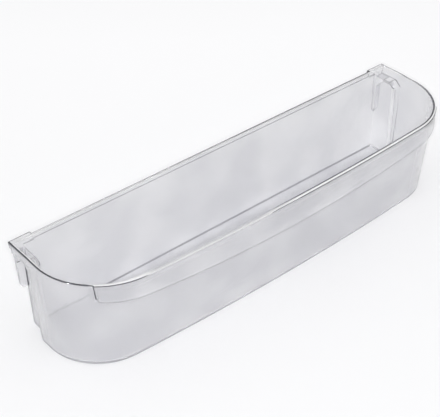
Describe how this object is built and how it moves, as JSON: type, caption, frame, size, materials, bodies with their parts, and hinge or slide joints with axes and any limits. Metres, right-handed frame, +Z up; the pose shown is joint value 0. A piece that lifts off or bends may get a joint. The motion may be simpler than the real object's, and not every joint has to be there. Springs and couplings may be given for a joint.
{
  "type": "fridge door shelf",
  "caption": "Clear moulded fridge door shelf: a long open tub with a bowed front, a crescent apron under the rim, and end slots with hooked ears that drop over lugs on the door.",
  "frame": {"origin": "middle of the box round the shelf, on the flat base it stands on", "axes": "+X along the shelf's length, +Y towards the door it hangs on, so the bowed front faces -Y, +Z up"},
  "size_m": [0.47, 0.12, 0.1001],
  "materials": {
    "clear_plastic": "clear polished styrene plastic with a faint grey haze"
  },
  "bodies": {
    "root": {"door_shelf": "clear_plastic"}
  },
  "joints": []
}
